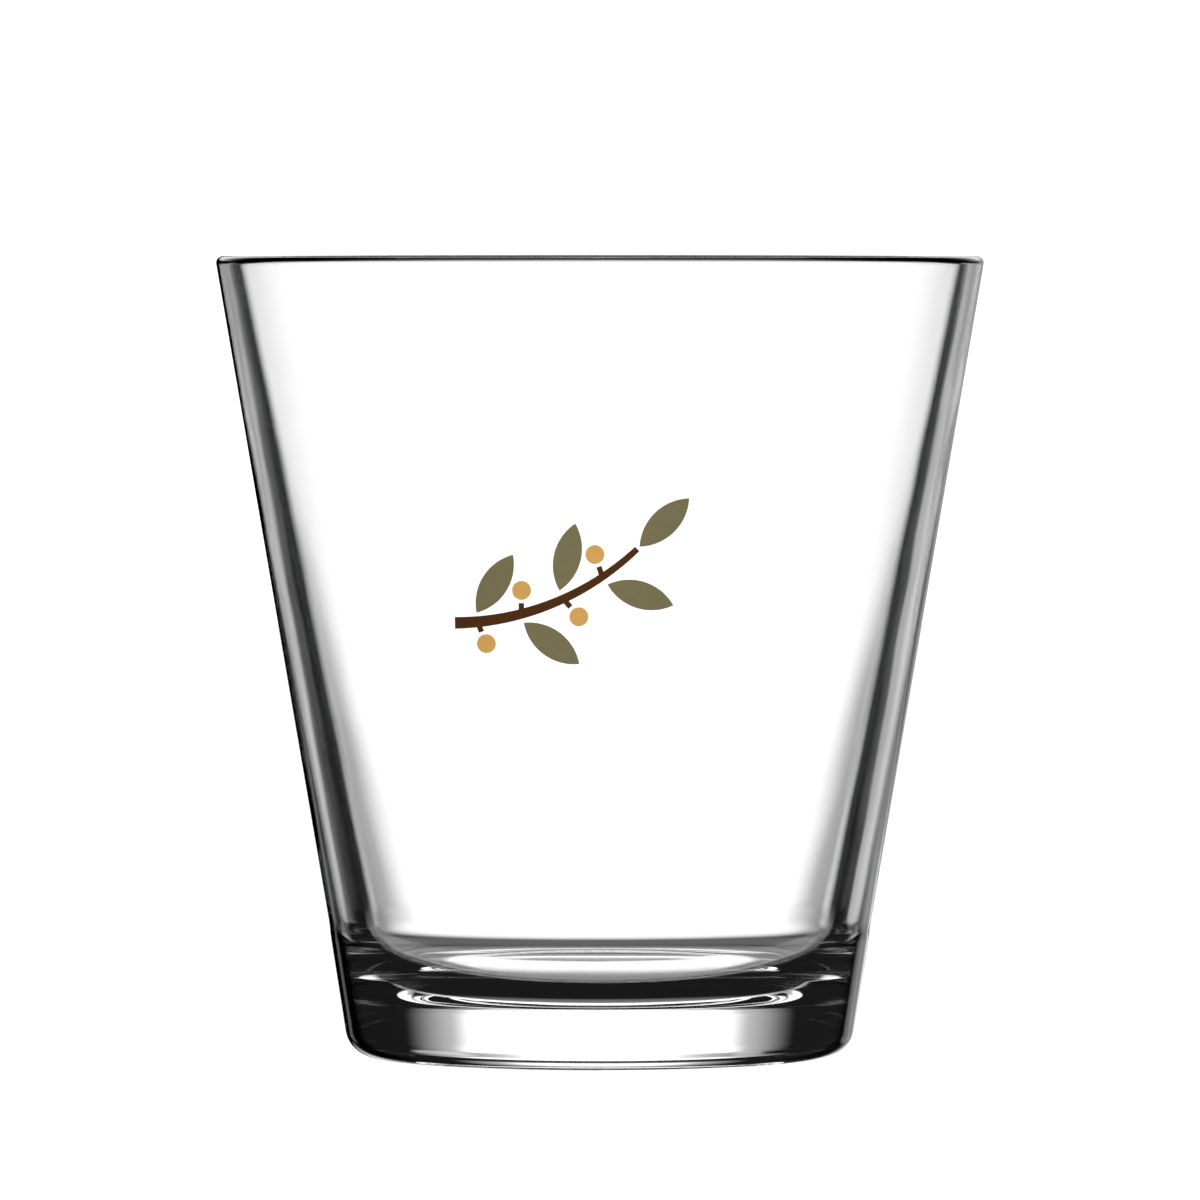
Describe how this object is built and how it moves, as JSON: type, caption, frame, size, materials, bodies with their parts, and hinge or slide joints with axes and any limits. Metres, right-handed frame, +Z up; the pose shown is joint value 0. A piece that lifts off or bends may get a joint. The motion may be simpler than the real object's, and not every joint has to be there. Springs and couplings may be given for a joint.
{
  "type": "drinking glass",
  "caption": "Clear conical tumbler with a heavy base, a tapered wall, a rounded lip and a small fired print of a leafy sprig on its front, for cold drinks.",
  "frame": {"origin": "middle of the ring that the glass stands on, on the table", "axes": "+Z up along the axis of the glass, print towards -Y, +X to the right of someone who faces the print"},
  "size_m": [0.0864, 0.0864, 0.09],
  "materials": {
    "clear_glass": "clear, fire-polished",
    "brown_ink": "fired ink, satin gloss",
    "olive_ink": "fired ink, satin gloss",
    "amber_ink": "fired ink, satin gloss"
  },
  "bodies": {
    "root": {"glass_body": "clear_glass", "print_twig": "brown_ink", "print_leaf_1": "olive_ink", "print_leaf_2": "olive_ink", "print_leaf_3": "olive_ink", "print_leaf_4": "olive_ink", "print_leaf_tip": "olive_ink", "print_berry_1": "amber_ink", "print_berry_2": "amber_ink", "print_berry_3": "amber_ink", "print_berry_4": "amber_ink"}
  },
  "joints": []
}
